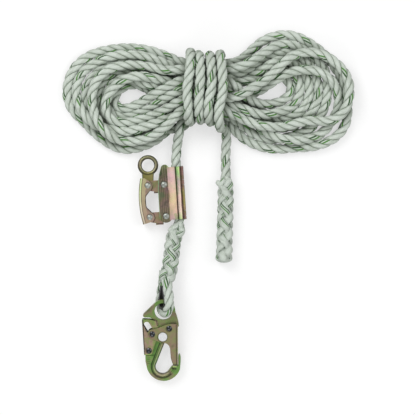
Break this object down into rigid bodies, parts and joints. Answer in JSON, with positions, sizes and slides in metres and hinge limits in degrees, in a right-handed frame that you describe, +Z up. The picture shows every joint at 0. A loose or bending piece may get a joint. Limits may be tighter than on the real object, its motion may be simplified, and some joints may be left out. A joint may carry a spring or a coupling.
{
  "type": "rope grab",
  "caption": "Hinged steel rope grab with a parallel-arm handle and connector eye, on a three-strand lifeline with a thimble eye, snap hook, wrapped hank and back-spliced tail.",
  "frame": {"origin": "middle of the rope grab's own box, on the surface that it lies on", "axes": "+Z up out of that surface through the grab's front, +Y along the rope from the hook towards the hank, +X from the handle towards the rope"},
  "size_m": [0.4679, 0.5586, 0.074],
  "materials": {
    "zinc_shell": "yellow chromate over zinc plating, pink and green sheen",
    "zinc_eye": "dark yellow chromate on a forging",
    "zinc_hook": "green chromate over zinc plating",
    "bright_steel": "bright plated fasteners",
    "badge_plate": "plain bright disc",
    "thimble_nylon": "black moulded nylon",
    "rope_fibre": "three-strand laid rope with green tracer yarns"
  },
  "bodies": {
    "lifeline": {"lead_rope": "rope_fibre", "eye_rope": "rope_fibre", "eye_splice": "rope_fibre", "thimble": "thimble_nylon", "hank_left": "rope_fibre", "hank_right": "rope_fibre", "hank_waist": "rope_fibre", "hank_wraps": "rope_fibre", "tail_rope": "rope_fibre", "back_splice": "rope_fibre"},
    "grab_body": {"rear_shell": "zinc_shell", "hinge_pin": "bright_steel", "upper_body_pin": "bright_steel", "lower_body_pin": "bright_steel", "cam_washers": "bright_steel"},
    "door": {"front_shell": "zinc_shell", "upper_lock_screw": "bright_steel", "lower_lock_screw": "bright_steel"},
    "upper_arm": {"upper_arm": "zinc_shell", "upper_cam": "bright_steel"},
    "lower_arm": {"lower_arm": "zinc_shell", "lower_cam": "bright_steel", "cam_spring": "bright_steel"},
    "handle": {"handle": "zinc_shell", "upper_handle_rivet": "bright_steel", "lower_handle_rivet": "bright_steel"},
    "eye": {"connector_eye": "zinc_eye"},
    "hook": {"hook_frame": "zinc_hook", "gate_pivot_rivet": "bright_steel", "lever_pivot_rivet": "bright_steel", "gate_spring": "bright_steel"},
    "lever": {"lock_lever": "zinc_shell"},
    "gate": {"hook_gate": "zinc_hook", "gate_stop_rivet": "bright_steel", "gate_badge": "badge_plate"}
  },
  "joints": [
    {"name": "grab_slide", "type": "slide", "parent": "lifeline", "child": "grab_body", "axis": [-0.0663, 0.9978, 0], "range_m": [-0.0035, 0.0045]},
    {"name": "door_hinge", "type": "hinge", "parent": "grab_body", "child": "door", "pos_m": [0.0341, -0.00423, 0.0177], "axis": [-0.0663, 0.9978, 0], "range_deg": [0, 95]},
    {"name": "arm_swing", "type": "hinge", "parent": "grab_body", "child": "upper_arm", "pos_m": [0.00316, 0.00855, 0.0111], "axis": [0, 0, -1], "range_deg": [0, 18], "stiffness_Nm_per_rad": 0.05, "springref_deg": -17.19},
    {"name": "lower_arm_swing", "type": "hinge", "parent": "grab_body", "child": "lower_arm", "pos_m": [0.00652, -0.04204, 0.0111], "axis": [0, 0, -1], "range_deg": [0, 18]},
    {"name": "handle_link", "type": "hinge", "parent": "upper_arm", "child": "handle", "pos_m": [-0.02278, 0.00683, 0.0111], "axis": [0, 0, -1], "range_deg": [-18, 0]},
    {"name": "eye_swing", "type": "hinge", "parent": "handle", "child": "eye", "pos_m": [-0.02278, 0.00683, 0.0111], "axis": [0, 0, -1], "range_deg": [0, 28]},
    {"name": "hook_swing", "type": "hinge", "parent": "lifeline", "child": "hook", "pos_m": [0.0046, -0.1774, 0.02517], "axis": [-0.9135, 0, 0.4067], "range_deg": [0, 60]},
    {"name": "lever_squeeze", "type": "hinge", "parent": "hook", "child": "lever", "pos_m": [-0.0209, -0.25595, 0.01271], "axis": [0, 0.1459, -0.9893], "range_deg": [0, 9.5], "stiffness_Nm_per_rad": 0.1, "springref_deg": -11.46},
    {"name": "gate_open", "type": "hinge", "parent": "hook", "child": "gate", "pos_m": [0.0116, -0.21974, 0.01805], "axis": [0, 0.1459, -0.9893], "range_deg": [0, 19]}
  ],
  "couplings": [
    {"joint": "lower_arm_swing", "follows": "arm_swing", "ratio": 1},
    {"joint": "handle_link", "follows": "arm_swing", "ratio": -1},
    {"joint": "gate_open", "follows": "lever_squeeze", "ratio": 2}
  ]
}
